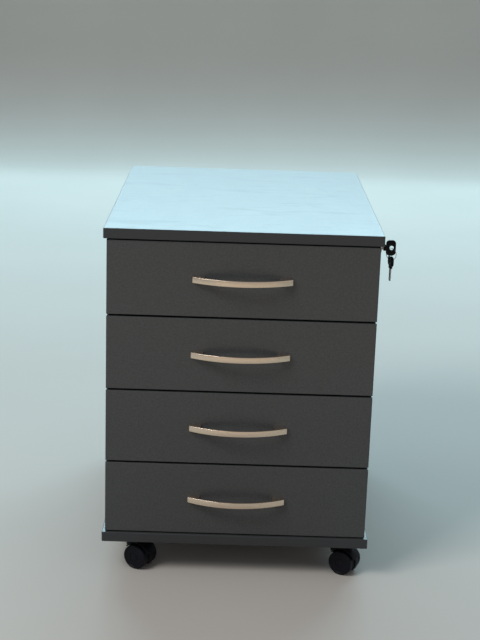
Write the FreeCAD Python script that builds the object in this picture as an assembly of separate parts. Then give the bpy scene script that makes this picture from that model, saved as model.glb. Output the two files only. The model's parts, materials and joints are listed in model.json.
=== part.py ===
"""Rolling pedestal cabinet: a board carcass, four locking drawers on roller slides and four twin-wheel casters.

Millimetres. +Z is up and the drawers open towards -Y. The origin is on the floor, under the middle of the top.
"""

import FreeCAD
import Part

import math
import os

# Carcass
TOP_WIDTH = 420.0
TOP_DEPTH = 570.0
HEIGHT = 560.0
CASTER_HEIGHT = 55.0
BOARD = 16.0
SIDE_OVERHANG = 5.0
FRONT_OVERHANG = 3.0
BOARD_ROUND = 1.5
CORNER_ROUND = 2.0

# Drawers
DRAWERS = 4
FRONT_HEIGHT = 115.0
FRONT_GAP = 3.0
END_GAP = 2.0
FRONT_ROUND = 1.0
CLOSING_GAP = 1.5
BOX_LIFT = 12.0
BOX_HEIGHT = 88.0
BOX_LENGTH = 500.0
BOX_BOARD = 12.0
BOX_ROUND = 1.5
SLIDE_SPACE = 12.5
BOTTOM_LIFT = 10.0
BOTTOM_SHEET = 3.0
BOTTOM_PLAY = 0.5
GROOVE_DEPTH = 6.0
FIT = 0.1

# Roller slides, in 1.2 mm sheet
SHEET = 1.2
CHANNEL_HEIGHT = 22.4
CHANNEL_FLANGE = 9.0
CHANNEL_DROP = 3.0
CHANNEL_SETBACK = 2.5
ROLLER_R = 8.0
ROLLER_WIDTH = 5.6
ROLLER_EDGE = 0.6
ROLLER_BORE_R = 2.6
ROLLER_GAP = 0.8
RIVET_R = 2.5
RIVET_HEAD_R = 4.0
RIVET_HEAD = 0.8
RUN_LEDGE = 17.8
LEDGE_GAP = 2.5
FRONT_ROLLER_SETBACK = 10.0
REAR_ROLLER_SETBACK = 8.0
CATCH_WIDTH = 12.0
CATCH_THICK = 2.0
CATCH_GAP = 1.0
CATCH_LOW = 23.5
CATCH_HIGH = 29.0

# Screws and fittings: every radius is a shank's or a head's, and a bite is how far a screw goes in
SCREW_R = 1.8
SMALL_HEAD_R = 3.0
PLATE_HEAD_R = 3.5
PLATE_HEAD = 2.0
PLATE_BITE = 12.0
JOINT_R = 2.5
JOINT_HEAD_R = 4.5
JOINT_HEAD = 3.0
JOINT_BITE = 34.0
JOINT_PLACES_Y = (-200.0, 0.0, 200.0)
CAM_DISC_R = 7.4
CAM_DISC_DEPTH = 12.5
CAM_DISC_DOWN = 24.0
CAM_BOLT_R = 3.0
CAM_BOLT_BITE = 10.0
CAM_PLACES_Y = (-140.0, 200.0)
RAIL_BITE = 11.0
RAIL_PLACES_Y = (-190.0, 20.0, 200.0)
BOX_BITE = 9.0
BOX_PLACES_Y = (-180.0, 0.0, 180.0)
HANDLE_SCREW_R = 1.9
HANDLE_SCREW_BITE = 8.0
HANDLE_SCREW_HEAD_R = 4.2
HANDLE_SCREW_HEAD = 2.4
HANDLE_SCREW_HOLE_R = 2.25

# Handle
HANDLE_LENGTH = 151.0
HANDLE_REACH = 27.0
HANDLE_STANDOFF = 6.0
HANDLE_THICK = 3.5
HANDLE_TALL = 9.0
HANDLE_PITCH = 128.0
HANDLE_FOOT = 18.5
HANDLE_RISE = 1.0
HANDLE_INNER_ROUND = 3.0
HANDLE_OUTER_ROUND = 2.0

# Central lock
LOCK_BACK = 45.0
LOCK_DOWN = 26.5
ROSETTE_R = 8.5
ROSETTE_LENGTH = 4.5
ROSETTE_ROUND = 1.6
BARREL_R = 7.4
PLUG_R = 4.5
PLUG_SINK = 0.6
PLUG_DEPTH = 3.6
CAM_WEB = 1.0
CAM_OFFSET = 5.0
CAM_PIN_R = 1.8
BAR_WIDTH = 16.0
BAR_THICK = 2.0
BAR_SLIP = 0.4
BAR_PLAY = 0.5
BAR_GROOVE = 3.0
BAR_ABOVE_LOCK = 8.0
SLOT_PLAY = 0.3
CATCH_RISE = 33.0
CATCH_PIN_R = 3.0
CATCH_PIN_GAP = 1.8

# Keys
BOW_LENGTH = 15.0
BOW_WIDTH = 24.0
BOW_THICK = 4.0
BOW_CORNER = 5.5
BOW_EDGE = 0.7
BOW_HOLE_R = 3.6
HOLE_TO_END = 6.5
COLLAR_LENGTH = 4.0
COLLAR_TALL = 9.0
KEY_STANDOFF = 2.8
BLADE_LENGTH = 19.4
BLADE_TALL = 6.4
BLADE_THICK = 1.9
BLADE_SOCKET = 1.5
BLADE_TIP = 1.6
KEY_CUTS = (1.4, 0.8, 1.7, 1.1)
KEY_CUT_WIDTH = 1.3
KEY_CUT_PITCH = 2.8
KEY_CUT_START = 3.0
KEYWAY_PLAY = 0.15
RING_R = 9.0
RING_WIRE_R = 0.55
RING_SAG = 0.8
SPARE_TURN = 98.0

# Casters
CASTER_INSET_X = 45.5
CASTER_INSET_Y = 43.0
WHEEL_R = 20.0
WHEEL_WIDTH = 13.5
WHEEL_IN = 5.0
RIM_THICK = 3.0
TREAD_ROUND = 2.2
HUB_R = 6.0
CAP_R = 6.5
CAP_THICK = 1.2
TRAIL = 16.0
AXLE_R = 2.5
AXLE_SHORT = 2.5
KINGPIN_R = 4.0
KINGPIN_FOOT_Z = 31.0
KINGPIN_EASE = 0.8
PLATE = 42.0
PLATE_THICK = 2.0
PLATE_CORNER = 6.0
PLATE_HOLE_PITCH = 32.0
CUP_LOW_R = 9.5
CUP_HIGH_R = 11.5
CUP_DEPTH = 2.6
WEB_GAP = 0.7
WEB_LOW_Z = 5.0
GUARD_HALF = 12.5
GUARD_GAP = 1.5
GUARD_THICK = 2.0
GUARD_BACK = 14.0
GUARD_LIFT = 6.0
TOWER_R = 9.0
TOWER_Z0 = 40.0
TOWER_Z1 = 50.0
NECK_Z0 = 30.0
# The angle, in degrees, at which each caster has come to rest: 0 trails towards +X.
CASTERS = {
    "front_left": (-1, -1, -30.0),
    "front_right": (1, -1, -30.0),
    "rear_left": (-1, 1, -35.0),
    "rear_right": (1, 1, -27.0),
}

# Derived places
HALF_TOP = TOP_WIDTH / 2
HALF_DEPTH = TOP_DEPTH / 2
SIDE_OUT = HALF_TOP - SIDE_OVERHANG
SIDE_IN = SIDE_OUT - BOARD
SIDE_MID = SIDE_OUT - BOARD / 2
FRONT_Y = -HALF_DEPTH + FRONT_OVERHANG
FRONT_BACK_Y = FRONT_Y + BOARD
CASE_Y0 = FRONT_BACK_Y + CLOSING_GAP
CASE_Y1 = HALF_DEPTH - FRONT_OVERHANG
BASE_TOP = CASTER_HEIGHT + BOARD
TOP_UNDER = HEIGHT - BOARD
PITCH = FRONT_HEIGHT + FRONT_GAP
BOX_OUT = SIDE_IN - SLIDE_SPACE
BOX_IN = BOX_OUT - BOX_BOARD
BOX_Y1 = FRONT_BACK_Y + BOX_LENGTH
RAIL_Y0 = CASE_Y0 + CHANNEL_SETBACK
RAIL_Y1 = RAIL_Y0 + BOX_LENGTH
CABINET_ROLLER_Y = RAIL_Y0 + FRONT_ROLLER_SETBACK
DRAWER_ROLLER_Y = BOX_Y1 - REAR_ROLLER_SETBACK
LOCK_Y = -HALF_DEPTH + LOCK_BACK
LOCK_Z = HEIGHT - LOCK_DOWN
LOCK_FACE_X = SIDE_OUT + ROSETTE_LENGTH
CAM_SIDE = CAM_OFFSET * 0.5**0.5
CAM_WEB_R = CAM_OFFSET + CAM_PIN_R + 0.35
BAR_Y = LOCK_Y - 2.0
BAR_X0 = SIDE_IN + BAR_SLIP
PLUG_X0 = SIDE_IN + PLUG_DEPTH
KEY_X = LOCK_FACE_X + KEY_STANDOFF
KEY_HOLE_X = KEY_X + COLLAR_LENGTH + BOW_LENGTH - HOLE_TO_END
PLATE_UNDER = CASTER_HEIGHT - PLATE_THICK
OVER = 1.0  # how far a cutting tool stands past what it cuts


def vec(x, y, z):
    return FreeCAD.Vector(x, y, z)


def box(x0, x1, y0, y1, z0, z1):
    """A block between two corners."""
    return Part.makeBox(x1 - x0, y1 - y0, z1 - z0, vec(x0, y0, z0))


def rod(r, start, end):
    """A round bar of radius r from start to end."""
    along = vec(*end) - vec(*start)
    return Part.makeCylinder(r, along.Length, vec(*start), along)


def screw(shank_r, head_r, tip, neck, end):
    """A plain screw: its shank from tip to neck, and its head from neck to end."""
    return one_solid(rod(shank_r, tip, neck).fuse(rod(head_r, neck, end)))


def mirror_x(shape):
    return shape.mirror(vec(0, 0, 0), vec(1, 0, 0))


def both_sides(shape):
    """The right-hand piece and its left-hand twin."""
    return [shape, mirror_x(shape)]


def cut_all(shape, tools):
    for tool in tools:
        shape = shape.cut(tool)
    return shape


def one_solid(shape):
    return shape.removeSplitter().Solids[0]


def export(name, solids):
    Part.makeCompound(solids).exportStep(f"parts/{name}.step")


def edges_along(shape, axis, at_least=1.0):
    """The straight edges that run along one axis, 0 to 2."""
    found = []
    for edge in shape.Edges:
        if edge.Curve.TypeId == "Part::GeomLine" and edge.Length > at_least:
            if abs(edge.tangentAt(edge.FirstParameter)[axis]) > 0.999:
                found.append(edge)
    return found


def lies_at(edge, axis, value):
    """Whether the whole edge is in the plane where that coordinate has that value."""
    letter = "XYZ"[axis]
    low = getattr(edge.BoundBox, letter + "Min")
    high = getattr(edge.BoundBox, letter + "Max")
    return abs(low - value) < 1e-4 and abs(high - value) < 1e-4


def edges_at(shape, axis, value):
    return [edge for edge in shape.Edges if lies_at(edge, axis, value)]


# Screws and fittings that pass through several boards: each is listed once, and cuts its own hole.


def caster_places():
    for name, (side_x, side_y, angle) in CASTERS.items():
        x = side_x * (HALF_TOP - CASTER_INSET_X)
        y = side_y * (HALF_DEPTH - CASTER_INSET_Y)
        yield name, x, y, angle


def caster_screws():
    """Four pan-head screws up through each caster plate."""
    half = PLATE_HOLE_PITCH / 2
    screws = []
    for _, x, y, _ in caster_places():
        for sx in (x - half, x + half):
            for sy in (y - half, y + half):
                tip, neck = (sx, sy, CASTER_HEIGHT + PLATE_BITE), (sx, sy, PLATE_UNDER)
                screws.append(screw(SCREW_R, PLATE_HEAD_R, tip, neck, (sx, sy, PLATE_UNDER - PLATE_HEAD)))
    return screws


def base_screws():
    """Flush-headed joint screws up through the base into the side panels."""
    screws = []
    for y in JOINT_PLACES_Y:
        shank = rod(JOINT_R, (SIDE_MID, y, CASTER_HEIGHT), (SIDE_MID, y, BASE_TOP + JOINT_BITE))
        head = rod(JOINT_HEAD_R, (SIDE_MID, y, CASTER_HEIGHT), (SIDE_MID, y, CASTER_HEIGHT + JOINT_HEAD))
        screws += both_sides(one_solid(shank.fuse(head)))
    return screws


def top_fittings():
    """Cam discs in the side panels, and the bolts that they pull down out of the top."""
    disc_z = TOP_UNDER - CAM_DISC_DOWN
    fittings = []
    for y in CAM_PLACES_Y:
        disc = rod(CAM_DISC_R, (SIDE_IN, y, disc_z), (SIDE_IN + CAM_DISC_DEPTH, y, disc_z))
        bolt_z = disc_z + CAM_DISC_R + FIT
        bolt = rod(CAM_BOLT_R, (SIDE_MID, y, bolt_z), (SIDE_MID, y, TOP_UNDER + CAM_BOLT_BITE))
        fittings += both_sides(disc) + both_sides(bolt)
    return fittings


def front_z(index):
    """The lower edge of a drawer front. Drawer 1 is the top one."""
    return TOP_UNDER - END_GAP - FRONT_HEIGHT - (index - 1) * PITCH


def channel_z(index):
    """The underside of a drawer's slide channel."""
    return front_z(index) + BOX_LIFT - CHANNEL_DROP


def rail_screws(index):
    """Countersunk screws through each cabinet channel into its side panel, placed clear of the lock bar."""
    z = channel_z(index) + CHANNEL_HEIGHT / 2
    x = SIDE_IN - SHEET
    screws = []
    for y in RAIL_PLACES_Y:
        shank = rod(SCREW_R, (x, y, z), (SIDE_IN + RAIL_BITE, y, z))
        head = Part.makeCone(PLATE_HEAD_R, SCREW_R, 2.0, vec(x, y, z), vec(1, 0, 0))
        screws += both_sides(one_solid(shank.fuse(head)))
    return screws


# Carcass


def outer_board(z0):
    """The top or the base: a full-size board with an eased edge band all round."""
    board = box(-HALF_TOP, HALF_TOP, -HALF_DEPTH, HALF_DEPTH, z0, z0 + BOARD)
    board = board.makeFillet(CORNER_ROUND, edges_along(board, 2))
    rims = edges_at(board, 2, z0) + edges_at(board, 2, z0 + BOARD)
    return board.makeFillet(BOARD_ROUND, rims)


def side_panel():
    """The right-hand side panel, without its fastener holes."""
    return box(SIDE_IN, SIDE_OUT, CASE_Y0, CASE_Y1, BASE_TOP, TOP_UNDER)


def lock_cuts():
    """The groove that the lock's bar slides in, and the hole for its barrel through the right panel."""
    y0 = BAR_Y - BAR_WIDTH / 2 - BAR_PLAY
    y1 = BAR_Y + BAR_WIDTH / 2 + BAR_PLAY
    groove = box(SIDE_IN - OVER, SIDE_IN + BAR_GROOVE, y0, y1, channel_z(DRAWERS) + 8, TOP_UNDER + OVER)
    return [groove, rod(BARREL_R + FIT, (SIDE_IN, LOCK_Y, LOCK_Z), (SIDE_OUT + OVER, LOCK_Y, LOCK_Z))]


def carcass():
    fasteners = caster_screws() + base_screws() + top_fittings()
    for index in range(1, DRAWERS + 1):
        fasteners += rail_screws(index)
    holes = Part.makeCompound(fasteners)
    right = side_panel().cut(holes)
    left = mirror_x(side_panel()).cut(holes)
    back = box(-SIDE_IN, SIDE_IN, CASE_Y1 - BOARD, CASE_Y1, BASE_TOP, TOP_UNDER)
    export("top_panel", [one_solid(outer_board(TOP_UNDER).cut(holes))])
    export("base_panel", [one_solid(outer_board(CASTER_HEIGHT).cut(holes))])
    export("left_panel", [one_solid(left)])
    export("right_panel", [one_solid(cut_all(right, lock_cuts()))])
    export("back_panel", [back])
    export("cabinet_fasteners", fasteners)


# Roller slides


def cabinet_roller_z(index):
    return channel_z(index) + RUN_LEDGE - FIT - ROLLER_R


def drawer_roller_z(index):
    return channel_z(index) + SHEET + ROLLER_R + FIT / 2


def cabinet_rail(index):
    """The right-hand cabinet channel, with the riveted pin that its roller turns on."""
    z0 = channel_z(index)
    z1 = z0 + CHANNEL_HEIGHT
    edge = SIDE_IN - CHANNEL_FLANGE
    web = box(SIDE_IN - SHEET, SIDE_IN, RAIL_Y0, RAIL_Y1, z0, z1)
    floor = box(edge, SIDE_IN, RAIL_Y0, RAIL_Y1, z0, z0 + SHEET)
    lip = box(edge + 1, SIDE_IN, RAIL_Y0, RAIL_Y1, z1 - SHEET, z1)
    y, z = CABINET_ROLLER_Y, cabinet_roller_z(index)
    tip = edge + 0.2
    pin = rod(RIVET_R, (tip, y, z), (SIDE_IN - SHEET, y, z))
    head = rod(RIVET_HEAD_R, (tip - RIVET_HEAD, y, z), (tip, y, z))
    return one_solid(cut_all(web.fuse([floor, lip, pin, head]), rail_screws(index)))


def drawer_rail(index):
    """The right-hand drawer profile: a web on the box side, a lip under it and a ledge on the roller."""
    z0 = channel_z(index) + CHANNEL_DROP - SHEET
    ledge_z = channel_z(index) + RUN_LEDGE
    y0 = FRONT_BACK_Y + 2
    web = box(BOX_OUT, BOX_OUT + SHEET, y0, BOX_Y1, z0, ledge_z + SHEET)
    lip = box(BOX_IN, BOX_OUT + SHEET, y0, BOX_Y1, z0, z0 + SHEET)
    ledge = box(BOX_OUT, SIDE_IN - LEDGE_GAP, y0, BOX_Y1, ledge_z, ledge_z + SHEET)
    y, z = DRAWER_ROLLER_Y, drawer_roller_z(index)
    tip = SIDE_IN - SHEET - 0.9
    pin = rod(RIVET_R, (BOX_OUT + SHEET, y, z), (tip, y, z))
    head = rod(RIVET_HEAD_R, (tip, y, z), (tip + 0.6, y, z))
    return web.fuse([lip, ledge, pin, head])


def catch_tab(index):
    """A tab bent out of the right-hand drawer profile, which the lock bar's pin stops."""
    z = channel_z(index)
    y0 = LOCK_Y + CATCH_PIN_R + CATCH_GAP
    stem = box(BOX_OUT, BOX_OUT + SHEET, y0, y0 + CATCH_WIDTH, z + RUN_LEDGE, z + CATCH_HIGH)
    tab = box(BOX_OUT, SIDE_IN - 3, y0, y0 + CATCH_THICK, z + CATCH_LOW, z + CATCH_HIGH)
    return stem.fuse(tab)


def roller(y, z, x0):
    """A nylon roller with rounded edges, on the right-hand side."""
    x1 = x0 + ROLLER_WIDTH
    body = rod(ROLLER_R, (x0, y, z), (x1, y, z))
    body = body.makeFillet(ROLLER_EDGE, [e for e in body.Edges if e.Curve.TypeId == "Part::GeomCircle"])
    return body.cut(rod(ROLLER_BORE_R, (x0 - OVER, y, z), (x1 + OVER, y, z)))


def slides():
    rails = []
    for index in range(1, DRAWERS + 1):
        rails += both_sides(cabinet_rail(index))
        front_x = SIDE_IN - CHANNEL_FLANGE + ROLLER_GAP
        rear_x = SIDE_IN - CHANNEL_FLANGE + 1
        front_roller = roller(CABINET_ROLLER_Y, cabinet_roller_z(index), front_x)
        rear_roller = roller(DRAWER_ROLLER_Y, drawer_roller_z(index), rear_x)
        export(f"cabinet_roller_{index}", both_sides(front_roller))
        export(f"drawer_{index}_roller", both_sides(rear_roller))
    export("cabinet_rails", rails)


# Drawers


def handle_z(index):
    return front_z(index) + FRONT_HEIGHT / 2 + HANDLE_RISE


def handle_screws(index):
    """Machine screws through the front, one into each foot of the handle."""
    z = handle_z(index)
    screws = []
    for x in (-HANDLE_PITCH / 2, HANDLE_PITCH / 2):
        tip, neck = (x, FRONT_Y - HANDLE_SCREW_BITE, z), (x, FRONT_BACK_Y, z)
        end = (x, FRONT_BACK_Y + HANDLE_SCREW_HEAD, z)
        screws.append(screw(HANDLE_SCREW_R, HANDLE_SCREW_HEAD_R, tip, neck, end))
    return screws


def box_screws(index):
    """Short screws that hold each drawer profile to the box side."""
    z = channel_z(index) + 9.0
    x = BOX_OUT + SHEET
    screws = []
    for y in BOX_PLACES_Y:
        tip, neck, end = (BOX_OUT - BOX_BITE, y, z), (x, y, z), (x + 0.9, y, z)
        screws += both_sides(screw(SCREW_R, SMALL_HEAD_R, tip, neck, end))
    return screws


def front_board(index):
    z = front_z(index)
    board = box(-SIDE_OUT, SIDE_OUT, FRONT_Y, FRONT_BACK_Y, z, z + FRONT_HEIGHT)
    board = board.makeFillet(FRONT_ROUND, edges_at(board, 1, FRONT_Y))
    for x in (-HANDLE_PITCH / 2, HANDLE_PITCH / 2):
        start, end = (x, FRONT_Y - OVER, handle_z(index)), (x, FRONT_BACK_Y + OVER, handle_z(index))
        board = board.cut(rod(HANDLE_SCREW_HOLE_R, start, end))
    return board


def box_wrap(index):
    """Left side, back and right side, folded from one foil-wrapped strip, with a groove for the bottom."""
    z0 = front_z(index) + BOX_LIFT
    z1 = z0 + BOX_HEIGHT
    y0, y1 = FRONT_BACK_Y, BOX_Y1 - BOX_BOARD
    outside = box(-BOX_OUT, BOX_OUT, y0, BOX_Y1, z0, z1)
    outside = outside.makeFillet(BOX_ROUND, [e for e in edges_along(outside, 2) if e.BoundBox.YMin > 0])
    inside = box(-BOX_IN, BOX_IN, y0 - OVER, y1, z0 - OVER, z1 + OVER)
    reach = BOX_IN + GROOVE_DEPTH
    groove_z0 = z0 + BOTTOM_LIFT - FIT
    groove_z1 = z0 + BOTTOM_LIFT + BOTTOM_SHEET + FIT
    groove = box(-reach, reach, y0 - OVER, y1 + GROOVE_DEPTH, groove_z0, groove_z1)
    return one_solid(cut_all(outside, [inside, groove] + box_screws(index)))


def bottom_sheet(index):
    z = front_z(index) + BOX_LIFT + BOTTOM_LIFT
    reach = BOX_IN + GROOVE_DEPTH - BOTTOM_PLAY
    y1 = BOX_Y1 - BOX_BOARD + GROOVE_DEPTH - BOTTOM_PLAY
    return box(-reach, reach, FRONT_BACK_Y, y1, z, z + BOTTOM_SHEET)


def handle_plan(z):
    """The handle's outline seen from above: an arched strip that stands on two feet."""
    half = HANDLE_LENGTH / 2
    foot = half - HANDLE_FOOT
    rise = HANDLE_REACH - HANDLE_STANDOFF
    outer_r = (half**2 + rise**2) / (2 * rise)
    inner_r = outer_r - HANDLE_THICK
    centre_y = FRONT_Y - HANDLE_REACH + outer_r
    shoulder_y = FRONT_Y - HANDLE_STANDOFF
    arch_y = centre_y - (inner_r**2 - foot**2) ** 0.5
    outer_left, outer_right = vec(-half, shoulder_y, z), vec(half, shoulder_y, z)
    inner_left, inner_right = vec(-foot, arch_y, z), vec(foot, arch_y, z)
    right_foot = Part.makePolygon([outer_right, vec(half, FRONT_Y, z), vec(foot, FRONT_Y, z), inner_right])
    left_foot = Part.makePolygon([inner_left, vec(-foot, FRONT_Y, z), vec(-half, FRONT_Y, z), outer_left])
    inner = Part.Arc(inner_right, vec(0, centre_y - inner_r, z), inner_left).toShape()
    outer = Part.Arc(outer_left, vec(0, FRONT_Y - HANDLE_REACH, z), outer_right).toShape()
    return Part.Face(Part.Wire(right_foot.Edges + [inner] + left_foot.Edges + [outer]))


def corners_at(shape, x):
    """Upright edges at that distance either side of the middle, clear of the drawer front."""
    upright = edges_along(shape, 2)
    return [e for e in upright if abs(abs(e.BoundBox.XMin) - x) < FIT and e.BoundBox.YMin < FRONT_Y - 1]


def handle(index):
    """A bow handle, tapped for its two screws."""
    mid = handle_z(index)
    half = HANDLE_LENGTH / 2
    bow = handle_plan(mid - HANDLE_TALL / 2).extrude(vec(0, 0, HANDLE_TALL))
    bow = bow.makeFillet(HANDLE_INNER_ROUND, corners_at(bow, half - HANDLE_FOOT))
    bow = bow.makeFillet(HANDLE_OUTER_ROUND, corners_at(bow, half))
    for x in (-HANDLE_PITCH / 2, HANDLE_PITCH / 2):
        bottom = FRONT_Y - HANDLE_SCREW_BITE - BOTTOM_PLAY
        bow = bow.cut(rod(HANDLE_SCREW_R + 0.05, (x, bottom, mid), (x, FRONT_Y + OVER, mid)))
    return one_solid(bow)


def drawer(index):
    left_rail = cut_all(mirror_x(drawer_rail(index)), box_screws(index))
    right_rail = cut_all(drawer_rail(index).fuse(catch_tab(index)), box_screws(index))
    export(f"drawer_{index}_front", [front_board(index)])
    export(f"drawer_{index}_wrap", [box_wrap(index)])
    export(f"drawer_{index}_bottom", [bottom_sheet(index)])
    export(f"drawer_{index}_handle", [handle(index)])
    export(f"drawer_{index}_rails", [one_solid(left_rail), one_solid(right_rail)])
    export(f"drawer_{index}_screws", handle_screws(index) + box_screws(index))


# Central lock


def along_lock(r, x0, x1):
    """A round bar on the lock's own axis."""
    return rod(r, (x0, LOCK_Y, LOCK_Z), (x1, LOCK_Y, LOCK_Z))


def lock_housing():
    """A plated barrel in the side panel with a rounded rosette outside it."""
    barrel = along_lock(BARREL_R, PLUG_X0, SIDE_OUT)
    rosette = along_lock(ROSETTE_R, SIDE_OUT, LOCK_FACE_X)
    rosette = rosette.makeFillet(ROSETTE_ROUND, edges_at(rosette, 0, LOCK_FACE_X))
    bore = along_lock(PLUG_R + 0.05, PLUG_X0 - OVER, LOCK_FACE_X + OVER)
    return one_solid(barrel.fuse(rosette).cut(bore))


def lock_plug():
    """The turning plug: a keyway in its face, and an off-centre pin that works the bar."""
    plug = along_lock(PLUG_R, PLUG_X0, LOCK_FACE_X - PLUG_SINK)
    web = along_lock(CAM_WEB_R, PLUG_X0 - CAM_WEB, PLUG_X0)
    y, z = LOCK_Y - CAM_SIDE, LOCK_Z + CAM_SIDE
    pin = rod(CAM_PIN_R, (BAR_X0 - BAR_PLAY, y, z), (PLUG_X0 - CAM_WEB / 2, y, z))
    tall, thick = BLADE_TALL / 2 + KEYWAY_PLAY, BLADE_THICK / 2 + KEYWAY_PLAY
    y0, y1, z0, z1 = LOCK_Y - thick, LOCK_Y + thick, LOCK_Z - tall, LOCK_Z + tall
    keyway = box(PLUG_X0 - CAM_WEB - OVER, LOCK_FACE_X + OVER, y0, y1, z0, z1)
    return one_solid(plug.fuse([web, pin]).cut(keyway))


def lock_bar():
    """The flat bar that the plug lowers, with a slot for its pin and a pin of its own behind each front."""
    half, x1 = BAR_WIDTH / 2, BAR_X0 + BAR_THICK
    foot_z = channel_z(DRAWERS) + CATCH_RISE - 3 * CATCH_PIN_R
    bar = box(BAR_X0, x1, BAR_Y - half, BAR_Y + half, foot_z, LOCK_Z + BAR_ABOVE_LOCK)
    slot_y0 = LOCK_Y - CAM_OFFSET - CAM_PIN_R - SLOT_PLAY
    slot_y1 = LOCK_Y - CAM_SIDE + CAM_PIN_R + SLOT_PLAY
    slot_z0 = LOCK_Z + CAM_SIDE - CAM_PIN_R - SLOT_PLAY
    slot_z1 = LOCK_Z + CAM_SIDE + CAM_PIN_R + SLOT_PLAY
    bar = bar.cut(box(BAR_X0 - OVER, x1 + OVER, slot_y0, slot_y1, slot_z0, slot_z1))
    for index in range(1, DRAWERS + 1):
        z = channel_z(index) + CATCH_RISE
        start, end = (BOX_OUT + SHEET + CATCH_PIN_GAP, LOCK_Y, z), (BAR_X0 + BAR_PLAY, LOCK_Y, z)
        bar = bar.fuse(rod(CATCH_PIN_R, start, end))
    return one_solid(bar)


def key_bow():
    """A moulded key bow in the X-Z plane. The key points towards -X, and its hole is at the origin."""
    neck = KEY_X - KEY_HOLE_X
    x0 = neck + COLLAR_LENGTH
    half, thick = BOW_WIDTH / 2, BOW_THICK / 2
    plate = box(x0, x0 + BOW_LENGTH, -thick, thick, -half, half)
    plate = plate.makeFillet(BOW_CORNER, edges_along(plate, 1, 2))
    collar = box(neck, x0 + 2, -thick, thick, -COLLAR_TALL / 2, COLLAR_TALL / 2)
    bow = plate.fuse(collar).removeSplitter()
    bow = bow.makeFillet(BOW_EDGE, edges_at(bow, 1, -thick) + edges_at(bow, 1, thick))
    bow = bow.cut(rod(BOW_HOLE_R, (0, -thick - OVER, 0), (0, thick + OVER, 0)))
    tall, thin = BLADE_TALL / 2, BLADE_THICK / 2
    return one_solid(bow.cut(box(neck - OVER, x0 + BLADE_SOCKET, -thin, thin, -tall, tall)))


def key_blade():
    """The blade, with its cuts along one edge, in the same frame as the bow."""
    neck = KEY_X - KEY_HOLE_X
    tip = neck - BLADE_LENGTH
    tall, thin = BLADE_TALL / 2, BLADE_THICK / 2
    blade = box(tip, neck + COLLAR_LENGTH + BLADE_SOCKET, -thin, thin, -tall, tall)
    blade = blade.makeChamfer(BLADE_TIP, [e for e in edges_along(blade, 1) if e.BoundBox.XMax < tip + FIT])
    for step, depth in enumerate(KEY_CUTS):
        x = tip + KEY_CUT_START + step * KEY_CUT_PITCH
        blade = blade.cut(box(x, x + KEY_CUT_WIDTH, -thin - OVER, thin + OVER, tall - depth, tall + OVER))
    return one_solid(blade)


def placed(shape, turn_y, turn_z, spot):
    """Turned about Y, then about Z, and moved from the origin to its spot."""
    shape = shape.copy()
    shape.rotate(vec(0, 0, 0), vec(0, 1, 0), turn_y)
    shape.rotate(vec(0, 0, 0), vec(0, 0, 1), turn_z)
    shape.translate(vec(*spot))
    return shape


def keys():
    """One key in the lock and its twin, hung from it on a ring that stands half way between their planes."""
    hole = (KEY_HOLE_X, LOCK_Y, LOCK_Z)
    ring_z = LOCK_Z - RING_SAG - RING_R
    spare_hole = (KEY_HOLE_X, LOCK_Y, ring_z - RING_R - RING_SAG)
    half_turn = math.radians(SPARE_TURN / 2)
    across = vec(math.cos(half_turn), math.sin(half_turn), 0)
    export("key_bow", [placed(key_bow(), 0, 0, hole)])
    export("key_blade", [placed(key_blade(), 0, 0, hole)])
    export("key_ring", [Part.makeTorus(RING_R, RING_WIRE_R, vec(KEY_HOLE_X, LOCK_Y, ring_z), across)])
    export("spare_bow", [placed(key_bow(), -90, SPARE_TURN, spare_hole)])
    export("spare_blade", [placed(key_blade(), -90, SPARE_TURN, spare_hole)])


def lock():
    export("lock_housing", [lock_housing()])
    export("lock_plug", [lock_plug()])
    export("lock_bar", [lock_bar()])
    keys()


# Casters: each is made about its own swivel axis, trailing towards +X, then turned.


def across_wheels(r, y0, y1):
    """A round bar on the wheels' axis."""
    return rod(r, (TRAIL, y0, WHEEL_R), (TRAIL, y1, WHEEL_R))


def caster_plate():
    """The fixing plate with its bearing cup."""
    half = PLATE / 2
    plate = box(-half, half, -half, half, PLATE_UNDER, CASTER_HEIGHT)
    plate = plate.makeFillet(PLATE_CORNER, edges_along(plate, 2))
    return plate.fuse(Part.makeCone(CUP_LOW_R, CUP_HIGH_R, CUP_DEPTH, vec(0, 0, PLATE_UNDER - CUP_DEPTH)))


def kingpin():
    pin = rod(KINGPIN_R, (0, 0, KINGPIN_FOOT_Z), (0, 0, PLATE_UNDER - CUP_DEPTH))
    return pin.makeFillet(KINGPIN_EASE, edges_at(pin, 2, KINGPIN_FOOT_Z))


def caster_web():
    """The plate between the two wheels."""
    half = WHEEL_IN - WEB_GAP
    web = across_wheels(WHEEL_R + GUARD_GAP + BOTTOM_PLAY, -half, half)
    return web.common(box(-TRAIL, 3 * TRAIL, -half, half, WEB_LOW_Z, CASTER_HEIGHT))


def caster_guard():
    """The arched cover over the inner half of each tread."""
    inner = WHEEL_R + GUARD_GAP
    guard = across_wheels(inner + GUARD_THICK, -GUARD_HALF, GUARD_HALF)
    guard = guard.cut(across_wheels(inner, -GUARD_HALF - OVER, GUARD_HALF + OVER))
    keep = box(-2 * TRAIL, TRAIL + GUARD_BACK, -GUARD_HALF, GUARD_HALF, WHEEL_R + GUARD_LIFT, CASTER_HEIGHT)
    return guard.common(keep)


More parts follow.
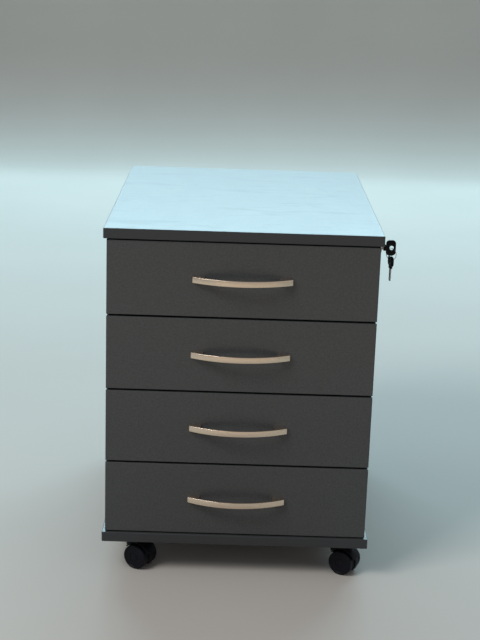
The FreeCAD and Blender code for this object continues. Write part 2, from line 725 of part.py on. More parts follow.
def caster_hood():
    """The moulded swivel body: a web between the wheels, a tower on the kingpin and a guard over the treads."""
    half = WHEEL_IN - WEB_GAP
    tower = rod(TOWER_R, (0, 0, TOWER_Z0), (0, 0, TOWER_Z1))
    neck = box(-TOWER_R, TRAIL, -half, half, NECK_Z0, TOWER_Z0 + 4)
    hood = caster_web().fuse([caster_guard(), tower, neck])
    clear_r = WHEEL_R + 0.9
    tools = [
        across_wheels(clear_r, half, GUARD_HALF + OVER),
        across_wheels(clear_r, -GUARD_HALF - OVER, -half),
        across_wheels(AXLE_R, -WHEEL_R, WHEEL_R),
        rod(KINGPIN_R + 0.05, (0, 0, KINGPIN_FOOT_Z - BOTTOM_PLAY), (0, 0, CASTER_HEIGHT)),
    ]
    return one_solid(cut_all(hood, tools))


def caster_axle():
    half = WHEEL_IN + WHEEL_WIDTH - AXLE_SHORT
    return across_wheels(AXLE_R, -half, half)


def wheel_section():
    """Half the wheel's section: a crowned tread and dished outer face, with rim and hub open on the inside."""
    w0, w1 = WHEEL_IN, WHEEL_IN + WHEEL_WIDTH
    bore, web, rim = AXLE_R + FIT, w1 - 4.5, WHEEL_R - RIM_THICK
    tread_end = vec(WHEEL_R, w1 - TREAD_ROUND, 0)
    face_start = vec(WHEEL_R - TREAD_ROUND, w1, 0)
    bulge = TREAD_ROUND * (1 - 0.5**0.5)
    inside = [vec(bore, w0 + 0.5, 0), vec(HUB_R, w0 + 0.5, 0), vec(HUB_R, web, 0), vec(rim, web, 0)]
    tread = [vec(rim, w0, 0), vec(WHEEL_R - 0.8, w0, 0), vec(WHEEL_R, w0 + 0.8, 0), tread_end]
    face = [face_start, vec(WHEEL_R - 3.6, w1, 0), vec(WHEEL_R - 4.4, w1 - 0.8, 0), vec(CAP_R, w1 - 0.3, 0)]
    face += [vec(bore, w1 - 0.3 - CAP_THICK, 0), inside[0]]
    edges = Part.makePolygon(inside + tread).Edges
    edges.append(Part.Arc(tread_end, vec(WHEEL_R - bulge, w1 - bulge, 0), face_start).toShape())
    edges += Part.makePolygon(face).Edges
    return Part.Face(Part.Wire(edges))


def caster_wheel(side):
    """One moulded wheel with its hub closed by a cap. side is 1 or -1."""
    outside = WHEEL_IN + WHEEL_WIDTH - 0.3
    solid = wheel_section().revolve(vec(0, 0, 0), vec(0, 1, 0), 360)
    solid = one_solid(solid.fuse(rod(CAP_R, (0, outside - CAP_THICK, 0), (0, outside, 0))))
    if side < 0:
        solid = solid.mirror(vec(0, 0, 0), vec(0, 1, 0))
    solid.translate(vec(TRAIL, 0, WHEEL_R))
    return solid


def casters():
    plates = []
    screws = caster_screws()
    for name, x, y, angle in caster_places():
        spot = (x, y, 0)
        plate = placed(caster_plate(), 0, 0, spot)
        plates.append(one_solid(cut_all(plate, screws)))
        plates.append(placed(kingpin(), 0, 0, spot))
        swivel = [caster_hood(), caster_axle()]
        export(f"caster_{name}_hood", [placed(solid, 0, angle, spot) for solid in swivel])
        export(f"caster_{name}_wheel_inner", [placed(caster_wheel(1), 0, angle, spot)])
        export(f"caster_{name}_wheel_outer", [placed(caster_wheel(-1), 0, angle, spot)])
    export("caster_plates", plates)


def main():
    os.makedirs("parts", exist_ok=True)
    carcass()
    slides()
    for index in range(1, DRAWERS + 1):
        drawer(index)
    lock()
    casters()


main()
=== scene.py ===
import json
import math

import bmesh
import bpy
from mathutils import Matrix, Vector


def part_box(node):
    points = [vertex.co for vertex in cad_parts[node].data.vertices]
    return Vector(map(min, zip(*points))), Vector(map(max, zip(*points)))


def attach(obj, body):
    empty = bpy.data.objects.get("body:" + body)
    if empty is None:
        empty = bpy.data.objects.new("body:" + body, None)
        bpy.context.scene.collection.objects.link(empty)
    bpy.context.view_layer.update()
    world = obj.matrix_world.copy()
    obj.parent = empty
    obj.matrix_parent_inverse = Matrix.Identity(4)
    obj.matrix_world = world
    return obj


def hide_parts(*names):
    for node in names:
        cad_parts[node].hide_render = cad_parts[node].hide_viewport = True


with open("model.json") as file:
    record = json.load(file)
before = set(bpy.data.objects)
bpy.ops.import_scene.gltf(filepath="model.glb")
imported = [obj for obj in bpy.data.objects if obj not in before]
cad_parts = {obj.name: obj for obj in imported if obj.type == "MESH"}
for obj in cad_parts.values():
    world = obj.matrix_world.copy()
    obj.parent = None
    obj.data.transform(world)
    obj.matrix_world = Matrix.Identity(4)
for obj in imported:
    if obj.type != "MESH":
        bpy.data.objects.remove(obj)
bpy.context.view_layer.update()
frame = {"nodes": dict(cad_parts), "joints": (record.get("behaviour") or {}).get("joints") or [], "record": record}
cadNodes = frame["nodes"]
print("frame loaded with", len(cadNodes), "nodes")


def at(x, y, z):
    return Vector((x, y, z))


def matrixOf(place, xAxis=(1, 0, 0), zAxis=(0, 0, 1)):
    # a frame whose x and z run along the given directions
    z = Vector(zAxis).normalized()
    x = Vector(xAxis)
    x = (x - z * x.dot(z)).normalized()
    y = z.cross(x)
    turned = Matrix((x, y, z)).transposed().to_4x4()
    return Matrix.Translation(Vector(place)) @ turned


def tidyShell(bm, mergeAt=1e-6):
    bmesh.ops.remove_doubles(bm, verts=bm.verts, dist=mergeAt)
    bmesh.ops.recalc_face_normals(bm, faces=bm.faces)


def addShell(target, bm, place=None):
    # closes off one shell, moves it into place and adds it to the piece
    tidyShell(bm)
    if place is not None:
        bmesh.ops.transform(bm, matrix=place, verts=bm.verts)
    part = bpy.data.meshes.new("shell")
    bm.to_mesh(part)
    bm.free()
    target.from_mesh(part)
    bpy.data.meshes.remove(part)


def finishPiece(bm, name, material, body, replaced=(), sharpAngle=32):
    mesh = bpy.data.meshes.new(name)
    bm.to_mesh(mesh)
    bm.free()
    mesh.shade_smooth()
    mesh.set_sharp_from_angle(angle=math.radians(sharpAngle))
    mesh.materials.append(material)
    piece = bpy.data.objects.new(name, mesh)
    bpy.context.scene.collection.objects.link(piece)
    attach(piece, body)
    if replaced:
        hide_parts(*replaced)
    return piece


def lathe(points, steps=64):
    # a closed outline of (radius, height) turned about z
    bm = bmesh.new()
    ring = [bm.verts.new((r, 0, h)) for r, h in points]
    edges = [bm.edges.new((a, b)) for a, b in zip(ring, ring[1:] + ring[:1])]
    bmesh.ops.spin(
        bm, geom=ring + edges, cent=(0, 0, 0), axis=(0, 0, 1), angle=math.tau, steps=steps, use_merge=True
    )
    return bm


def turnedRod(radius, length, ease=0.0004, steps=32):
    # a bar along z with eased ends, closed on its own axis
    bm = bmesh.new()
    rows = [
        (0, 0), (radius - ease, 0), (radius, ease),
        (radius, length - ease), (radius - ease, length), (0, length),
    ]
    line = [bm.verts.new((r, 0, h)) for r, h in rows]
    edges = [bm.edges.new((a, b)) for a, b in zip(line, line[1:])]
    bmesh.ops.spin(
        bm, geom=line + edges, cent=(0, 0, 0), axis=(0, 0, 1), angle=math.tau, steps=steps, use_merge=True
    )
    return bm


def bevelEdges(bm, edges, width, segments=3):
    bmesh.ops.bevel(
        bm, geom=list(edges), offset=width, offset_type="OFFSET", segments=segments, profile=0.5,
        affect="EDGES", material=-1, clamp_overlap=True,
    )


def roundedBox(low, high, width, segments=3):
    bm = bmesh.new()
    bmesh.ops.create_cube(bm, size=1.0)
    size = Vector(high) - Vector(low)
    bmesh.ops.scale(bm, vec=size, verts=bm.verts)
    bmesh.ops.translate(bm, vec=(Vector(high) + Vector(low)) / 2, verts=bm.verts)
    bevelEdges(bm, bm.edges, width, segments)
    return bm


def shaderOf(material):
    return material.node_tree.nodes["Principled BSDF"]


def newFinish(name, colour, roughness, metallic=0.0, specular=0.5):
    material = bpy.data.materials.new(name)
    material.use_nodes = True
    shader = shaderOf(material)
    shader.inputs["Base Color"].default_value = (*colour, 1)
    shader.inputs["Roughness"].default_value = roughness
    shader.inputs["Metallic"].default_value = metallic
    shader.inputs["Specular IOR Level"].default_value = specular
    return material


def addNode(material, kind):
    return material.node_tree.nodes.new(kind)


def wire(material, start, end):
    material.node_tree.links.new(start, end)


def objectCoords(material, stretch=(1, 1, 1), turn=(0, 0, 0)):
    coords = addNode(material, "ShaderNodeTexCoord")
    mapping = addNode(material, "ShaderNodeMapping")
    mapping.inputs["Scale"].default_value = stretch
    mapping.inputs["Rotation"].default_value = turn
    wire(material, coords.outputs["Object"], mapping.inputs["Vector"])
    return mapping.outputs["Vector"]


def noise(material, scale, detail=3.0, rough=0.5, stretch=(1, 1, 1), turn=(0, 0, 0), distortion=0.0):
    node = addNode(material, "ShaderNodeTexNoise")
    node.inputs["Scale"].default_value = scale
    node.inputs["Detail"].default_value = detail
    node.inputs["Roughness"].default_value = rough
    node.inputs["Distortion"].default_value = distortion
    wire(material, objectCoords(material, stretch, turn), node.inputs["Vector"])
    return node.outputs["Fac"]


def ramp(material, source, low, high, start=0.3, end=0.7):
    node = addNode(material, "ShaderNodeValToRGB")
    node.color_ramp.elements[0].position = start
    node.color_ramp.elements[1].position = end
    node.color_ramp.elements[0].color = (*low, 1)
    node.color_ramp.elements[1].color = (*high, 1)
    wire(material, source, node.inputs["Fac"])
    return node.outputs["Color"]


def spread(material, source, low, high, start=0.25, end=0.75):
    node = addNode(material, "ShaderNodeMapRange")
    node.inputs["From Min"].default_value = start
    node.inputs["From Max"].default_value = end
    node.inputs["To Min"].default_value = low
    node.inputs["To Max"].default_value = high
    wire(material, source, node.inputs["Value"])
    return node.outputs["Result"]


def maths(material, operation, a, b):
    node = addNode(material, "ShaderNodeMath")
    node.operation = operation
    for socket, value in zip(node.inputs, (a, b)):
        if isinstance(value, (int, float)):
            socket.default_value = value
        else:
            wire(material, value, socket)
    return node.outputs["Value"]


def bump(material, height, strength, distance):
    node = addNode(material, "ShaderNodeBump")
    node.inputs["Strength"].default_value = strength
    node.inputs["Distance"].default_value = distance
    wire(material, height, node.inputs["Height"])
    wire(material, node.outputs["Normal"], shaderOf(material).inputs["Normal"])


laminateLook = {
    "dark": (0.036, 0.038, 0.040),
    "light": (0.058, 0.060, 0.061),
    "roughness": (0.29, 0.36),
    "wiped": 0.04,            # how much rougher a wiped streak is
    # a darker colour for the boards' edge faces, and how far in from the edges it reaches
    "band": (0.026, 0.028, 0.031),
    "bandDepth": 0.0009,
    "pearlScale": 1300.0,
    "fleckScale": 380.0,
}


def edgeFaceMask(m, halfX, halfY):
    # 1 on the edge faces of a board centred on the origin, 0 on its broad faces
    coords = addNode(m, "ShaderNodeTexCoord")
    parts = addNode(m, "ShaderNodeSeparateXYZ")
    wire(m, coords.outputs["Object"], parts.inputs["Vector"])
    sides = []
    for axis, half in (("X", halfX), ("Y", halfY)):
        distance = maths(m, "ABSOLUTE", parts.outputs[axis], 0.0)
        sides.append(maths(m, "GREATER_THAN", distance, half - laminateLook["bandDepth"]))
    return maths(m, "MAXIMUM", *sides)


def makeLaminate(name="anthraciteLaminate", edgeHalves=None):
    look = laminateLook
    m = newFinish(name, look["light"], 0.35)
    shader = shaderOf(m)
    fleck = noise(m, look["fleckScale"], 5.0, 0.65)
    colour = ramp(m, fleck, look["dark"], look["light"], 0.34, 0.66)
    if edgeHalves:
        mix = addNode(m, "ShaderNodeMix")
        mix.data_type = "RGBA"
        wire(m, edgeFaceMask(m, *edgeHalves), mix.inputs["Factor"])
        wire(m, colour, mix.inputs["A"])
        mix.inputs["B"].default_value = (*look["band"], 1)
        colour = mix.outputs["Result"]
    wire(m, colour, shader.inputs["Base Color"])
    handled = noise(m, 7.0, 4.0, 0.6, (1.0, 0.55, 0.8), distortion=0.6)
    streaks = noise(m, 9.0, 5.0, 0.55, (0.8, 3.2, 1.0), (0, 0, 0.5), distortion=1.6)
    wiped = spread(m, streaks, 0.0, look["wiped"], 0.54, 0.66)
    rough = maths(m, "ADD", spread(m, handled, *look["roughness"]), wiped)
    wire(m, rough, shader.inputs["Roughness"])
    pearl = noise(m, look["pearlScale"], 2.0, 0.5)
    bump(m, pearl, 0.14, 0.00014)
    return m


# satin metal for the handles: its warm colour is partly painted reflection of a wooden floor, carried by both ends
# of the brushing ramp
satinFloorTintLook = {"colour": (0.86, 0.71, 0.56), "shade": (0.74, 0.60, 0.47), "roughness": (0.26, 0.36)}


def makeSatinNickel():
    look = satinFloorTintLook
    m = newFinish("satinNickel", look["colour"], 0.35, metallic=1.0)
    shader = shaderOf(m)
    brushed = noise(m, 60.0, 4.0, 0.6, (0.6, 18.0, 18.0))
    wire(m, ramp(m, brushed, look["shade"], look["colour"]), shader.inputs["Base Color"])
    wire(m, spread(m, brushed, *look["roughness"]), shader.inputs["Roughness"])
    bump(m, brushed, 0.06, 0.0001)
    return m


def makeMoulded(name, dark, light, roughness, grain=1100.0, strength=0.12, specular=0.5):
    # moulded plastic with a fine sparked texture and a little handling shine
    m = newFinish(name, light, roughness[0], specular=specular)
    shader = shaderOf(m)
    wire(m, ramp(m, noise(m, 45.0, 3.0), dark, light), shader.inputs["Base Color"])
    wire(m, spread(m, noise(m, 28.0, 3.0, distortion=0.4), *roughness), shader.inputs["Roughness"])
    bump(m, noise(m, grain, 2.0), strength, 0.00012)
    return m


def makePlated(name, dark, light, roughness, grain=(40.0, (1, 1, 1))):
    # plated or bright metal with faint drawing marks
    m = newFinish(name, light, roughness[0], metallic=1.0)
    shader = shaderOf(m)
    marks = noise(m, grain[0], 4.0, 0.6, grain[1])
    wire(m, ramp(m, marks, dark, light), shader.inputs["Base Color"])
    wire(m, spread(m, marks, *roughness), shader.inputs["Roughness"])
    bump(m, marks, 0.05, 0.0001)
    return m


finishes = {
    "board": makeLaminate(),
    "handle": makeSatinNickel(),
    "drawer_box": makeMoulded(
        "greyFoil", (0.20, 0.20, 0.20), (0.23, 0.23, 0.23), (0.42, 0.52), 900.0, 0.08
    ),
    "drawer_bottom": makeMoulded(
        "greyHardboard", (0.25, 0.25, 0.245), (0.29, 0.29, 0.285), (0.5, 0.62), 500.0, 0.15
    ),
    "rail": makeMoulded(
        "epoxyCoat", (0.50, 0.51, 0.51), (0.56, 0.57, 0.57), (0.32, 0.44), 700.0, 0.10
    ),
    "nylon": makeMoulded(
        "whiteNylon", (0.66, 0.65, 0.60), (0.76, 0.75, 0.70), (0.30, 0.42), 900.0, 0.06
    ),
    "zinc": makePlated(
        "brightZinc", (0.48, 0.50, 0.53), (0.66, 0.68, 0.70), (0.24, 0.40), (90.0, (1, 1, 1))
    ),
    # nickel plating given a pinkish tint that is painted reflection of warm surroundings
    "lock_plating": makePlated("nickelPlate", (0.60, 0.52, 0.47), (0.74, 0.66, 0.60), (0.14, 0.26)),
    "key_plastic": makeMoulded(
        "glossBlack", (0.003, 0.003, 0.004), (0.005, 0.005, 0.006), (0.08, 0.16), 600.0, 0.03, specular=0.12
    ),
    # steel darkened below its own tone as painted shade, dimming its reflections on the key blade and ring
    "key_steel": makePlated(
        "keySteel", (0.24, 0.24, 0.25), (0.36, 0.36, 0.37), (0.20, 0.34), (60.0, (1, 8, 8))
    ),
    "caster_hood": makeMoulded(
        "hoodNylon", (0.003, 0.003, 0.005), (0.005, 0.005, 0.008), (0.42, 0.54), 1000.0, 0.14, specular=0.16
    ),
    "caster_wheel": makeMoulded(
        "wheelNylon", (0.003, 0.0035, 0.006), (0.0045, 0.0055, 0.010), (0.36, 0.50), 800.0, 0.10,
        specular=0.16,
    ),
}

for entry in frame["record"]["subparts"]:
    cadNode = cadNodes[entry["node"]]
    finish = finishes[entry["material_slot"]]
    if not cadNode.material_slots:
        cadNode.data.materials.append(finish)
    for place in cadNode.material_slots:
        place.material = finish

topLow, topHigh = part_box("top_panel")
bandedLaminate = makeLaminate("bandedLaminate", (topHigh.x, topHigh.y))
for node in ("top_panel", "base_panel"):
    for place in cadNodes[node].material_slots:
        place.material = bandedLaminate
print("finishes made:", len(finishes) + 1)


handleForm = {
    "length": 0.151,
    "tall": 0.009,
    "thick": 0.0035,
    "reach": 0.027,
    "standoff": 0.006,
    "foot": 0.0185,
    "arcSteps": 48,
    "edgeRound": 0.0007,
    "innerRound": 0.0028,
}


def makeHandle(number):
    form = handleForm
    low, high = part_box(f"drawer_{number}_handle")
    frontFace, middle = high.y, (low.z + high.z) / 2
    half, rise = form["length"] / 2, form["reach"] - form["standoff"]
    outer = (half**2 + rise**2) / (2 * rise)
    centreY = frontFace - form["reach"] + outer
    inner = outer - form["thick"]
    foot = half - form["foot"]
    z = middle - form["tall"] / 2
    bm = bmesh.new()

    def arc(reachX, radius):
        sweep = 2 * math.asin(reachX / radius)
        start = bm.verts.new((-reachX, centreY - math.sqrt(radius**2 - reachX**2), z))
        made = bmesh.ops.spin(
            bm, geom=[start], cent=(0, centreY, z), axis=(0, 0, 1), angle=sweep, steps=form["arcSteps"]
        )
        end = [v for v in made["geom_last"] if isinstance(v, bmesh.types.BMVert)][0]
        return start, end

    outerLeft, outerRight = arc(half, outer)
    innerLeft, innerRight = arc(foot, inner)
    feet = [bm.verts.new((x, frontFace, z)) for x in (-half, -foot, foot, half)]
    for a, b in ((outerLeft, feet[0]), (feet[0], feet[1]), (feet[1], innerLeft)):
        bm.edges.new((a, b))
    for a, b in ((innerRight, feet[2]), (feet[2], feet[3]), (feet[3], outerRight)):
        bm.edges.new((a, b))
    bmesh.ops.contextual_create(bm, geom=bm.edges[:])
    raised = bmesh.ops.extrude_face_region(bm, geom=bm.faces[:])
    top = [v for v in raised["geom"] if isinstance(v, bmesh.types.BMVert)]
    bmesh.ops.translate(bm, vec=(0, 0, form["tall"]), verts=top)
    tidyShell(bm)
    inside = [
        e for e in bm.edges
        if abs(e.verts[0].co.z - e.verts[1].co.z) > 0.001
        and abs(abs(e.verts[0].co.x) - foot) < 1e-5
        and e.verts[0].co.y < frontFace - 0.001
    ]
    bevelEdges(bm, inside, form["innerRound"], 5)
    rims = [
        e for e in bm.edges
        if e.calc_face_angle(0) > math.radians(50) and min(v.co.y for v in e.verts) < frontFace - 0.0002
    ]
    bevelEdges(bm, rims, form["edgeRound"], 3)
    return finishPiece(
        bm, f"bowHandle{number}", finishes["handle"], f"drawer_{number}",
        [f"drawer_{number}_handle"],
    )


for number in range(1, 5):
    makeHandle(number)
print("handles made")


wheelForm = {
    "radius": 0.020,
    "inner": 0.005,
    "width": 0.0135,
    "bore": 0.0026,
    "steps": 72,
    "rim": 0.0030,
    "treadRound": 0.0022,
    "groove": (0.0052, 0.0062),   # where the tread's groove begins and ends
    "hub": 0.0060,
    "cap": (0.0027, 0.0012),      # radius and length of the axle's cap
}


def wheelOutline():
    # (radius, distance out along the axle)
    form = wheelForm
    r, w0, w1 = form["radius"], form["inner"], form["inner"] + form["width"]
    bore, hub, rim, tread = form["bore"], form["hub"], r - form["rim"], form["treadRound"]
    grooveLow, grooveHigh = (w0 + edge for edge in form["groove"])
    points = [(bore, w0 + 0.0005), (hub, w0 + 0.0005), (hub, w1 - 0.004), (rim, w1 - 0.0045)]
    points += [(rim, w0), (r - 0.0008, w0), (r - 0.0002, w0 + 0.0003), (r, w0 + 0.0009)]
    points += [(r, grooveLow), (r - 0.0003, grooveLow + 0.0003)]
    points += [(r - 0.0003, grooveHigh - 0.0003), (r, grooveHigh)]
    arcSteps = 6
    for step in range(arcSteps + 1):
        turn = math.radians(90 * step / arcSteps)
        points.append((r - tread + tread * math.cos(turn), w1 - tread + tread * math.sin(turn)))
    points += [(r - 0.0034, w1), (r - 0.0039, w1 - 0.0005), (r - 0.0042, w1 - 0.0008)]
    points += [(0.0085, w1 - 0.00045), (0.0075, w1 - 0.0005), (0.0072, w1 - 0.0010), (0.0066, w1 - 0.0010)]
    points += [(0.0063, w1 - 0.0005), (0.0055, w1 - 0.00025), (bore, w1 - 0.0002)]
    return points


def casterPlaces():
    for joint in frame["joints"]:
        if joint["name"].endswith("_swivel"):
            corner = joint["child"].replace("caster_", "")
            yield corner, Vector(joint["pos_m"])


def axleOf(corner):
    for joint in frame["joints"]:
        if joint["name"] == f"caster_{corner}_wheel_inner_spin":
            return Vector(joint["pos_m"]), Vector(joint["axis"]).normalized()


def makeWheel(corner, side, centre, axle):
    node = f"caster_{corner}_wheel_{side}"
    out = axle if side == "inner" else -axle
    bm = bmesh.new()
    addShell(bm, lathe(wheelOutline(), wheelForm["steps"]), matrixOf(centre, (0, 0, 1), out))
    capRadius, capLength = wheelForm["cap"]
    cap = turnedRod(capRadius, capLength, 0.0002, 24)
    capStart = wheelForm["inner"] + wheelForm["width"] - capLength - 0.0002
    addShell(bm, cap, matrixOf(centre + out * capStart, (0, 0, 1), out))
    return finishPiece(
        bm, f"casterWheel_{corner}_{side}", finishes["caster_wheel"], node, [node]
    )


hoodForm = {
    "guardIn": 0.0215,
    "guardOut": 0.0235,
    "guardHalf": 0.0125,
    "webHalf": 0.0043,
    "guardFrom": 20.0,
    "guardTo": 146.0,
    "webFrom": -38.0,
    "towerR": 0.0090,
    "towerBoreR": 0.0041,
    "towerLow": 0.036,
    "towerHigh": 0.050,
    "bossR": 0.0062,
    "bossBoreR": 0.00255,
    "bossHalf": 0.0046,
    "neckLow": (-0.0085, -0.0043, 0.0315),
    "neckHigh": (0.0080, 0.0043, 0.0435),
}


def makeHood(corner, pivot, centre, axle):
    form = hoodForm
    trailing = centre - pivot
    trailing.z = 0
    trailing.normalize()
    upright = matrixOf(centre, trailing, axle)   # x trails, z along the axle, so y is up or down
    flip = -1.0 if (upright.to_3x3() @ Vector((0, 1, 0))).z < 0 else 1.0
    bm = bmesh.new()

    def addBand(innerR, outerR, halfWidth, first, last, ease):
        shell = bmesh.new()
        rows = [(innerR, -halfWidth), (outerR, -halfWidth), (outerR, halfWidth), (innerR, halfWidth)]
        ring = [shell.verts.new((r, 0, h)) for r, h in rows]
        shell.faces.new(ring)
        start = Matrix.Rotation(math.radians(first) * flip, 3, "Z")
        bmesh.ops.rotate(shell, cent=(0, 0, 0), matrix=start, verts=shell.verts)
        bmesh.ops.spin(
            shell, geom=shell.verts[:] + shell.edges[:] + shell.faces[:], cent=(0, 0, 0), axis=(0, 0, 1),
            angle=math.radians(last - first) * flip, steps=36,
        )
        tidyShell(shell)
        rims = [e for e in shell.edges if e.calc_face_angle(0) > math.radians(50)]
        bevelEdges(shell, rims, ease, 2)
        addShell(bm, shell, upright)

    guardIn, guardFrom, guardTo = form["guardIn"], form["guardFrom"], form["guardTo"]
    addBand(guardIn, form["guardOut"], form["guardHalf"], guardFrom, guardTo, 0.0006)
    addBand(0.0030, guardIn + 0.0004, form["webHalf"], form["webFrom"], guardTo + 8.0, 0.0005)
    bore, bossR, half = form["bossBoreR"], form["bossR"], form["bossHalf"]
    boss = lathe([(bore, -half), (bossR, -half), (bossR, half), (bore, half)], 40)
    addShell(bm, boss, upright)
    towerSpot = at(pivot.x, pivot.y, form["towerLow"])
    height = form["towerHigh"] - form["towerLow"]
    towerR, towerBoreR = form["towerR"], form["towerBoreR"]
    towerOutline = [
        (towerBoreR, 0), (towerR - 0.0008, 0), (towerR, 0.0008),
        (towerR, height - 0.0012), (towerR - 0.0012, height), (towerBoreR, height),
    ]
    addShell(bm, lathe(towerOutline, 40), Matrix.Translation(towerSpot))
    neck = roundedBox(form["neckLow"], form["neckHigh"], 0.0009, 2)
    addShell(bm, neck, matrixOf(at(pivot.x, pivot.y, 0), trailing, (0, 0, 1)))
    return finishPiece(
        bm, f"casterHood_{corner}", finishes["caster_hood"], f"caster_{corner}",
        [f"caster_{corner}_hood"],
    )


for corner, pivot in casterPlaces():
    centre, axle = axleOf(corner)
    for side in ("inner", "outer"):
        makeWheel(corner, side, centre, axle)
    makeHood(corner, pivot, centre, axle)
print("casters made")


keyForm = {
    "outwards": 0.0065,     # from the hole to the bow's far end
    "inwards": 0.0085,      # from the hole to the collar
    "half": 0.0120,
    "thick": 0.0040,
    "corner": 0.0056,
    "edge": 0.0009,
    "hole": 0.0033,
    "collar": (0.0040, 0.0045),   # its length and half its height
    "wire": 0.00034,
    "coil": 0.00066,        # how far the ring's second turn lies beside the first
    "ringTurns": 1.9,
}


def jointNamed(name):
    return [joint for joint in frame["joints"] if joint["name"] == name][0]


def bowPlate():
    # flat on the x-y plane with its hole at the origin, and the blade's end towards -x
    form = keyForm
    bm = bmesh.new()
    bmesh.ops.create_grid(bm, x_segments=1, y_segments=1, size=0.5)
    length = form["outwards"] + form["inwards"]
    bmesh.ops.scale(bm, vec=(length, 2 * form["half"], 1), verts=bm.verts)
    bmesh.ops.translate(bm, vec=(form["outwards"] - length / 2, 0, -form["thick"] / 2), verts=bm.verts)
    bmesh.ops.bevel(
        bm, geom=bm.verts[:], offset=form["corner"], segments=10, profile=0.5,
        affect="VERTICES", material=-1, clamp_overlap=True,
    )
    bmesh.ops.delete(bm, geom=bm.faces[:], context="FACES_ONLY")
    bmesh.ops.create_circle(
        bm, segments=40, radius=form["hole"], matrix=Matrix.Translation((0, 0, -form["thick"] / 2))
    )
    bmesh.ops.bridge_loops(bm, edges=bm.edges[:])
    raised = bmesh.ops.extrude_face_region(bm, geom=bm.faces[:])
    top = [v for v in raised["geom"] if isinstance(v, bmesh.types.BMVert)]
    bmesh.ops.translate(bm, vec=(0, 0, form["thick"]), verts=top)
    tidyShell(bm)
    rims = [e for e in bm.edges if e.calc_face_angle(0) > math.radians(60)]
    bevelEdges(bm, rims, form["edge"], 4)
    return bm


def makeKeyBow(name, node, body, spot, outward, normal):
    form = keyForm
    place = matrixOf(spot, outward, normal)
    length, half = form["collar"]
    bm = bmesh.new()
    addShell(bm, bowPlate(), place)
    low = (-form["inwards"] - length, -half, -form["thick"] / 2)
    high = (-form["inwards"] + 0.0015, half, form["thick"] / 2)
    addShell(bm, roundedBox(low, high, 0.0006), place)
    for step in range(2):
        # moulded ribs across the collar
        x = -form["inwards"] - 0.0010 - 0.0018 * step
        ribLow, ribHigh = (x - 0.0004, -half - 0.0003, -0.0021), (x + 0.0004, half + 0.0003, 0.0021)
        rib = roundedBox(ribLow, ribHigh, 0.0002, 2)
        addShell(bm, rib, place)
    return finishPiece(bm, name, finishes["key_plastic"], body, [node])


def makeSplitRing(centre, axis):
    form = keyForm
    low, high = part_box("key_ring")
    radius = (high.z - low.z) / 2 - form["wire"]
    coil = bmesh.new()
    across = Matrix.Translation((radius, 0, -form["coil"] / 2)) @ Matrix.Rotation(math.pi / 2, 4, "X")
    bmesh.ops.create_circle(coil, cap_ends=True, segments=10, radius=form["wire"], matrix=across)
    steps = 150             # along the whole of the wire
    bmesh.ops.spin(
        coil, geom=coil.verts[:] + coil.edges[:] + coil.faces[:], cent=(0, 0, 0), axis=(0, 0, 1),
        dvec=(0, 0, form["coil"] / steps), angle=form["ringTurns"] * math.tau, steps=steps,
    )
    bm = bmesh.new()
    addShell(bm, coil, matrixOf(centre, (0, 0, 1), axis))
    return finishPiece(bm, "splitRing", finishes["key_steel"], "key_ring", ["key_ring"])


def makeKeys():
    keyHole = Vector(jointNamed("ring_swing")["pos_m"])
    spare = jointNamed("spare_swing")
    spareHole, spareNormal = Vector(spare["pos_m"]), Vector(spare["axis"]).normalized()
    makeKeyBow("keyBow", "key_bow", "key", keyHole, (1, 0, 0), (0, 1, 0))
    makeKeyBow("spareKeyBow", "spare_bow", "spare_key", spareHole, (0, 0, 1), spareNormal)
    halfTurn = math.atan2(-spareNormal.x, spareNormal.y) / 2
    makeSplitRing((keyHole + spareHole) / 2, (math.cos(halfTurn), math.sin(halfTurn), 0))


makeKeys()
print("keys made")


studio = {
    "floor": (0.50, 0.475, 0.44),
    "world": (0.84, 0.89, 0.96),
    "worldStrength": 0.34,
    "cameraPlace": (-0.0134, -2.3315, 0.993),
    "yaw": 0.308,
    "pitch": 15.52,
    "roll": -1.845,
    "lens": 79.1,
}


def areaLight(name, place, target, size, power, colour):
    data = bpy.data.lights.new(name, "AREA")
    data.shape = "RECTANGLE"
    data.size, data.size_y = size
    data.energy = power
    data.color = colour
    light = bpy.data.objects.new(name, data)
    bpy.context.scene.collection.objects.link(light)
    light.location = place
    aim = Vector(target) - Vector(place)
    light.rotation_euler = aim.to_track_quat("-Z", "Y").to_euler()
    light.visible_camera = False


areaLight("windowBehind", (0.3, 4.3, 2.84), (0.0, 0.0, 0.55), (6.0, 2.4), 318.0, (0.58, 0.885, 1.0))
areaLight("softKey", (-2.0, -2.0, 2.8), (0.0, -0.25, 0.58), (1.6, 1.2), 78.0, (1.0, 0.98, 0.955))
areaLight("softFill", (2.4, -1.6, 0.9), (0.0, -0.2, 0.3), (1.4, 1.0), 2.0, (1.0, 0.92, 0.82))
areaLight("floorGlow", (0.1, -1.10, 0.30), (0.0, -0.3, 0.85), (1.4, 0.5), 0.45, (1.0, 0.72, 0.46))


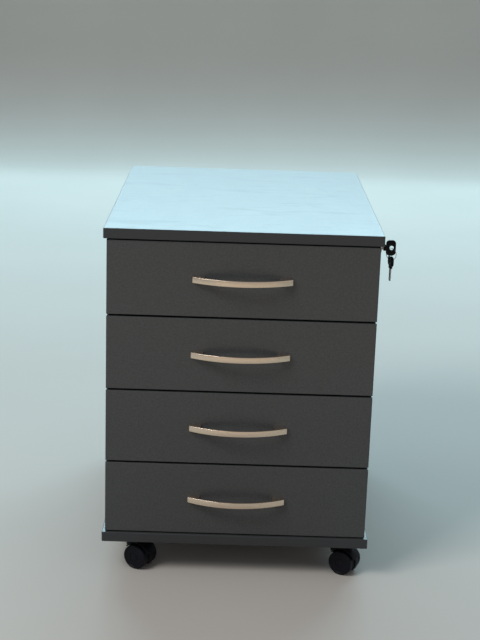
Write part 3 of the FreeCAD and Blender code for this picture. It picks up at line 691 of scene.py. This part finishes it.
def makeFloor():
    # a pale floor that sweeps up behind into a low backdrop
    bm = bmesh.new()
    near, turn, sweep, rise = -7.0, 4.0, 0.5, 0.30
    line = [bm.verts.new((-9.0, near, 0)), bm.verts.new((-9.0, turn - sweep, 0))]
    bm.edges.new(line)
    curve = bmesh.ops.spin(
        bm, geom=[line[1]], cent=(-9.0, turn - sweep, sweep), axis=(1, 0, 0), angle=math.pi / 2, steps=16
    )
    crest = [v for v in curve["geom_last"] if isinstance(v, bmesh.types.BMVert)]
    raised = bmesh.ops.extrude_vert_indiv(bm, verts=crest)
    bmesh.ops.translate(bm, vec=(0, 0, rise), verts=raised["verts"])
    across = bmesh.ops.extrude_edge_only(bm, edges=bm.edges[:])
    far = [v for v in across["geom"] if isinstance(v, bmesh.types.BMVert)]
    bmesh.ops.translate(bm, vec=(18.0, 0, 0), verts=far)
    mesh = bpy.data.meshes.new("studioFloor")
    bm.to_mesh(mesh)
    bm.free()
    mesh.shade_smooth()
    m = newFinish("paleFloor", studio["floor"], 0.75, specular=0.2)
    shade = noise(m, 2.0, 3.0)
    tint = tuple(0.96 * c for c in studio["floor"])
    wire(m, ramp(m, shade, tint, studio["floor"]), shaderOf(m).inputs["Base Color"])
    mesh.materials.append(m)
    floor = bpy.data.objects.new("studioFloor", mesh)
    bpy.context.scene.collection.objects.link(floor)


makeFloor()


def makeWorld():
    world = bpy.data.worlds.new("paleRoom")
    bpy.context.scene.world = world
    world.use_nodes = True
    back = world.node_tree.nodes["Background"]
    back.inputs["Color"].default_value = (*studio["world"], 1)
    back.inputs["Strength"].default_value = studio["worldStrength"]


makeWorld()


def makeCamera():
    data = bpy.data.cameras.new("viewCamera")
    data.lens = studio["lens"]
    data.sensor_width = 36.0
    data.clip_start, data.clip_end = 0.05, 100.0
    camera = bpy.data.objects.new("viewCamera", data)
    bpy.context.scene.collection.objects.link(camera)
    yaw, pitch, roll = (math.radians(studio[k]) for k in ("yaw", "pitch", "roll"))
    ahead = Vector((math.sin(yaw) * math.cos(pitch), math.cos(yaw) * math.cos(pitch), -math.sin(pitch)))
    right = Vector((math.cos(yaw), -math.sin(yaw), 0))
    down = ahead.cross(right)
    imageX = right * math.cos(roll) + down * math.sin(roll)
    imageDown = -right * math.sin(roll) + down * math.cos(roll)
    turned = Matrix((imageX, -imageDown, -ahead)).transposed().to_4x4()
    camera.matrix_world = Matrix.Translation(Vector(studio["cameraPlace"])) @ turned
    bpy.context.scene.camera = camera


makeCamera()
bpy.context.scene.view_settings.view_transform = "Standard"
print("studio made")
